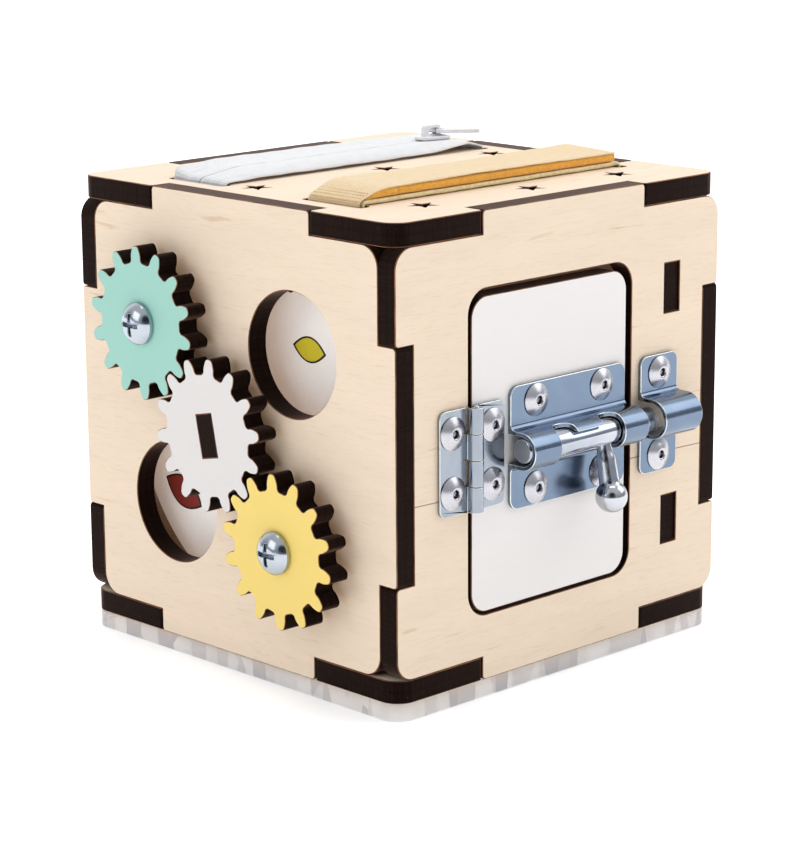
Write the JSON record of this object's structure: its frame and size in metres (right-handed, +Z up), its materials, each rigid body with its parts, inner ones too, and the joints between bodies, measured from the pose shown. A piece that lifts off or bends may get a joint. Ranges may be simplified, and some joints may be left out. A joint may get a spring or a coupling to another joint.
{
  "type": "activity cube",
  "caption": "Plywood activity cube on a clear base: hinged door with a sliding bolt, a gear train that turns a picture disc behind round windows, a zipper and a hook-and-loop strap.",
  "frame": {"origin": "centre of the base plate's underside", "axes": "+Z up, the door faces -Y, the gears face -X, the zipper runs along X on top"},
  "size_m": [0.1433, 0.1435, 0.1425],
  "materials": {
    "clear_acrylic": "clear, polished faces",
    "birch_ply": "pale birch faces, laser-burnt edges",
    "white_ply": "white lacquered faces, laser-burnt edges",
    "mint_ply": "mint lacquered faces, laser-burnt edges",
    "yellow_ply": "yellow lacquered faces, laser-burnt edges",
    "dark_ply": "laser-burnt end of plywood",
    "printed_disc": "white with printed simple motifs",
    "zinc_steel": "bright bluish zinc plating",
    "rivet_aluminium": "bright",
    "screw_steel": "bright zinc plating",
    "white_tape": "woven white tape",
    "white_nylon": "white nylon",
    "white_enamel": "white enamel",
    "golden_loop": "golden pile",
    "tan_ribbon": "pale golden woven ribbon"
  },
  "bodies": {
    "case": {"base_plate": "clear_acrylic", "bottom_panel": "birch_ply", "top_panel": "birch_ply", "gear_panel": "birch_ply", "right_panel": "birch_ply", "door_panel": "birch_ply", "back_panel": "birch_ply", "inner_wall": "birch_ply", "hinge_leaf_panel": "zinc_steel", "hinge_pin": "zinc_steel", "hinge_rivets_panel": "rivet_aluminium", "bolt_keeper": "zinc_steel", "keeper_rivets": "rivet_aluminium", "gear_spacers": "birch_ply", "gear_screws": "screw_steel", "gear_washers": "screw_steel", "gear_nuts": "screw_steel", "zipper_tape_front": "white_tape", "zipper_tape_back": "white_tape", "zipper_coil_front": "white_nylon", "zipper_coil_back": "white_nylon", "strap_lower": "golden_loop", "strap_upper_root": "tan_ribbon"},
    "door_leaf": {"door": "white_ply", "hinge_leaf_door": "zinc_steel", "hinge_rivets_door": "rivet_aluminium", "bolt_housing": "zinc_steel", "bolt_rivets": "rivet_aluminium"},
    "bolt": {"bolt_rod": "zinc_steel", "bolt_knob": "zinc_steel"},
    "white_train": {"white_gear": "white_ply", "gear_key": "dark_ply", "picture_disc": "printed_disc"},
    "mint_wheel": {"mint_gear": "mint_ply"},
    "yellow_wheel": {"yellow_gear": "yellow_ply"},
    "slider": {"zipper_slider": "white_enamel"},
    "pull": {"zipper_pull": "white_enamel"},
    "strap_flap": {"strap_upper_flap": "tan_ribbon", "strap_upper_pile": "golden_loop"}
  },
  "joints": [
    {"name": "door_swing", "type": "hinge", "parent": "case", "child": "door_leaf", "pos_m": [-0.03745, -0.0672, 0.0685], "axis": [0, 0, -1], "range_deg": [0, 120]},
    {"name": "bolt_slide", "type": "slide", "parent": "door_leaf", "child": "bolt", "axis": [1, 0, 0], "range_m": [-0.011, 0.0018]},
    {"name": "white_gear_spin", "type": "hinge", "parent": "case", "child": "white_train", "pos_m": [-0.07105, 0, 0.07], "axis": [-1, 0, 0], "continuous": true},
    {"name": "mint_gear_spin", "type": "hinge", "parent": "case", "child": "mint_wheel", "pos_m": [-0.07105, 0.02772, 0.09772], "axis": [-1, 0, 0], "continuous": true},
    {"name": "yellow_gear_spin", "type": "hinge", "parent": "case", "child": "yellow_wheel", "pos_m": [-0.07105, -0.02772, 0.04228], "axis": [-1, 0, 0], "continuous": true},
    {"name": "zipper_slide", "type": "slide", "parent": "case", "child": "slider", "axis": [1, 0, 0], "range_m": [-0.068, 0]},
    {"name": "zipper_pull_flip", "type": "hinge", "parent": "slider", "child": "pull", "pos_m": [0.0419, 0.028, 0.14055], "axis": [0, -1, 0], "range_deg": [0, 180]},
    {"name": "strap_lift", "type": "hinge", "parent": "case", "child": "strap_flap", "pos_m": [-0.038, -0.028, 0.13975], "axis": [0, -1, 0], "range_deg": [0, 100]}
  ],
  "couplings": [
    {"joint": "mint_gear_spin", "follows": "white_gear_spin", "ratio": -1},
    {"joint": "yellow_gear_spin", "follows": "white_gear_spin", "ratio": -1}
  ]
}
